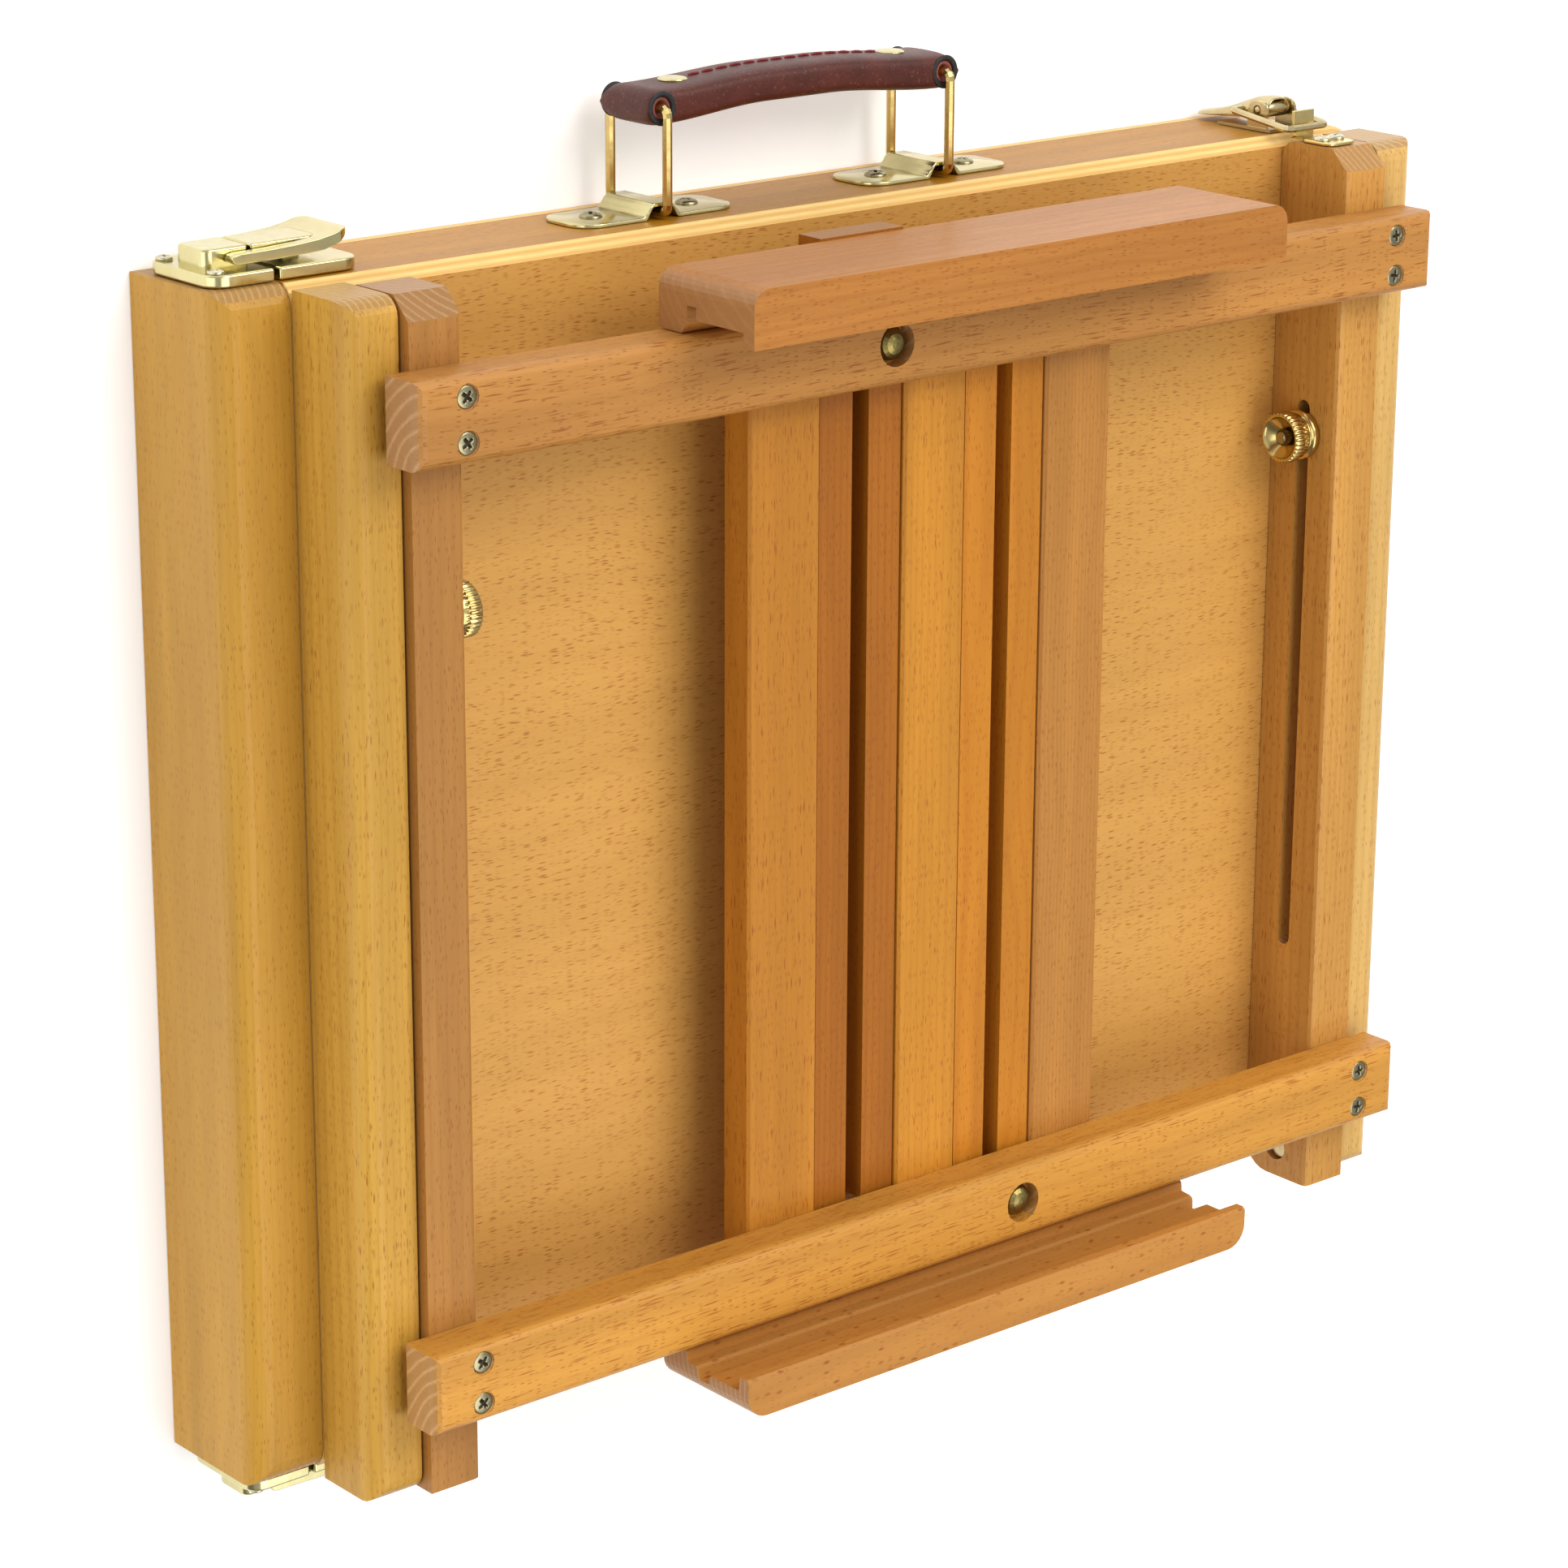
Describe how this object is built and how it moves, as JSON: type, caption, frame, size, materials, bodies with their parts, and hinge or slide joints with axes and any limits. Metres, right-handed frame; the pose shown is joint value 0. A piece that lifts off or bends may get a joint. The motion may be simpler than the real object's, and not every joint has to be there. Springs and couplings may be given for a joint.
{
  "type": "french box easel",
  "caption": "Table-top french box easel: wooden case with a full-size drawer, tilting canvas frame, sliding tray and clamp, brass latches and leather handle.",
  "frame": {"origin": "centre of the case's back face, the face it lies on", "axes": "+X to the fixed end (the drawer opens to -X), +Y to the handle side, +Z out of the lid"},
  "size_m": [0.521, 0.4766, 0.1336],
  "materials": {
    "beech": "satin lacquer",
    "beech_rose": "satin lacquer",
    "beech_amber": "satin lacquer",
    "beech_ply": "satin lacquer",
    "brass_bright": "polished plate",
    "brass_gold": "polished",
    "brass_antique": "aged satin",
    "steel_zinc": "zinc plate",
    "leather": "smooth"
  },
  "bodies": {
    "case": {"case_back_panel": "beech_ply", "case_end_board": "beech", "case_far_side_board": "beech", "case_handle_side_board": "beech", "case_lid_panel": "beech_ply", "handle_bracket_left": "brass_bright", "handle_bracket_right": "brass_bright", "hinge_pin_left": "brass_antique", "hinge_pin_right": "brass_antique", "latch_strike_far_side": "brass_bright", "latch_strike_handle_side": "brass_bright", "palette": "beech_ply", "side_rail_left": "beech", "side_rail_right": "beech", "toggle_base": "brass_antique"},
    "drawer": {"drawer_back": "beech", "drawer_bottom": "beech_ply", "drawer_cross_divider": "beech", "drawer_far_side": "beech", "drawer_front": "beech", "drawer_handle_side": "beech", "drawer_long_divider": "beech", "latch_body_far_side": "brass_bright", "latch_body_handle_side": "brass_bright"},
    "latch_lever_handle_side": {"latch_lever_handle_side": "brass_bright"},
    "latch_lever_far_side": {"latch_lever_far_side": "brass_bright"},
    "frame": {"clamp_bolt": "brass_antique", "cross_rail_lower": "beech_rose", "cross_rail_upper": "beech_rose", "frame_arm_left": "beech_rose", "frame_arm_right": "beech", "mast_centre_guide": "beech", "mast_stile_left": "beech_amber", "mast_stile_right": "beech_amber", "rail_screw_lower_left_a": "brass_antique", "rail_screw_lower_left_b": "brass_antique", "rail_screw_lower_right_a": "brass_antique", "rail_screw_lower_right_b": "brass_antique", "rail_screw_upper_left_a": "brass_antique", "rail_screw_upper_left_b": "brass_antique", "rail_screw_upper_right_a": "brass_antique", "rail_screw_upper_right_b": "brass_antique", "toggle_catch": "brass_antique", "tray_bolt": "brass_antique"},
    "clamp": {"canvas_clamp": "beech_rose", "clamp_bar": "beech_amber"},
    "tray": {"canvas_tray": "beech", "tray_bar": "beech_amber"},
    "clamp_nut": {"clamp_nut": "brass_gold"},
    "tray_nut": {"tray_nut": "brass_gold"},
    "strut_left": {"tilt_strut_left": "steel_zinc"},
    "knob_left": {"lock_knob_left": "brass_gold"},
    "loop_left": {"handle_loop_left": "brass_gold"},
    "strut_right": {"tilt_strut_right": "steel_zinc"},
    "knob_right": {"lock_knob_right": "brass_gold"},
    "loop_right": {"handle_loop_right": "brass_gold"},
    "grip": {"handle_grip": "leather"},
    "toggle_lever": {"toggle_lever": "brass_antique"},
    "toggle_bail": {"toggle_bail": "brass_antique"}
  },
  "joints": [
    {"name": "drawer_slide", "type": "slide", "parent": "case", "child": "drawer", "axis": [-1, 0, 0], "range_m": [0, 0.33]},
    {"name": "latch_handle_side", "type": "hinge", "parent": "drawer", "child": "latch_lever_handle_side", "pos_m": [-0.258, 0.2151, 0.025], "axis": [0, 0, 1], "range_deg": [0, 110]},
    {"name": "latch_far_side", "type": "hinge", "parent": "drawer", "child": "latch_lever_far_side", "pos_m": [-0.258, -0.2151, 0.025], "axis": [0, 0, -1], "range_deg": [0, 110]},
    {"name": "easel_tilt", "type": "hinge", "parent": "case", "child": "frame", "pos_m": [0, -0.1985, 0.068], "axis": [1, 0, 0], "range_deg": [0, 70]},
    {"name": "clamp_slide", "type": "slide", "parent": "frame", "child": "clamp", "axis": [0, 1, 0], "range_m": [0, 0.28]},
    {"name": "tray_slide", "type": "slide", "parent": "frame", "child": "tray", "axis": [0, -1, 0], "range_m": [0, 0.06]},
    {"name": "clamp_nut_turn", "type": "hinge", "parent": "frame", "child": "clamp_nut", "pos_m": [-0.0338, 0.168, 0.068], "axis": [0, 0, 1], "continuous": true},
    {"name": "tray_nut_turn", "type": "hinge", "parent": "frame", "child": "tray_nut", "pos_m": [0.0338, -0.166, 0.068], "axis": [0, 0, 1], "continuous": true},
    {"name": "strut_pivot_left", "type": "hinge", "parent": "case", "child": "strut_left", "pos_m": [-0.2263, -0.05165, 0.068], "axis": [1, 0, 0], "range_deg": [0, 140]},
    {"name": "knob_turn_left", "type": "hinge", "parent": "strut_left", "child": "knob_left", "pos_m": [-0.198, 0.0952, 0.068], "axis": [1, 0, 0], "continuous": true},
    {"name": "loop_swing_left", "type": "hinge", "parent": "case", "child": "loop_left", "pos_m": [-0.0841, 0.2099, 0.0244], "axis": [0, 0, 1], "range_deg": [-60, 60]},
    {"name": "strut_pivot_right", "type": "hinge", "parent": "case", "child": "strut_right", "pos_m": [0.2263, -0.05165, 0.068], "axis": [1, 0, 0], "range_deg": [0, 140]},
    {"name": "knob_turn_right", "type": "hinge", "parent": "strut_right", "child": "knob_right", "pos_m": [0.198, 0.0952, 0.068], "axis": [1, 0, 0], "continuous": true},
    {"name": "loop_swing_right", "type": "hinge", "parent": "case", "child": "loop_right", "pos_m": [0.0449, 0.2099, 0.0244], "axis": [0, 0, 1], "range_deg": [-60, 60]},
    {"name": "grip_swing", "type": "hinge", "parent": "loop_left", "child": "grip", "pos_m": [-0.0841, 0.2455, 0.0244], "axis": [0, 0, 1], "range_deg": [-60, 60]},
    {"name": "toggle_throw", "type": "hinge", "parent": "case", "child": "toggle_lever", "pos_m": [0.2125, 0.2155, 0.038], "axis": [1, 0, 0], "range_deg": [0, 110]},
    {"name": "bail_swing", "type": "hinge", "parent": "toggle_lever", "child": "toggle_bail", "pos_m": [0.2125, 0.2145, 0.027], "axis": [1, 0, 0], "range_deg": [-110, 0]}
  ],
  "couplings": [
    {"joint": "strut_pivot_left", "follows": "easel_tilt", "ratio": 2},
    {"joint": "strut_pivot_right", "follows": "easel_tilt", "ratio": 2},
    {"joint": "loop_swing_right", "follows": "loop_swing_left", "ratio": 1},
    {"joint": "grip_swing", "follows": "loop_swing_left", "ratio": -1},
    {"joint": "bail_swing", "follows": "toggle_throw", "ratio": -1}
  ]
}
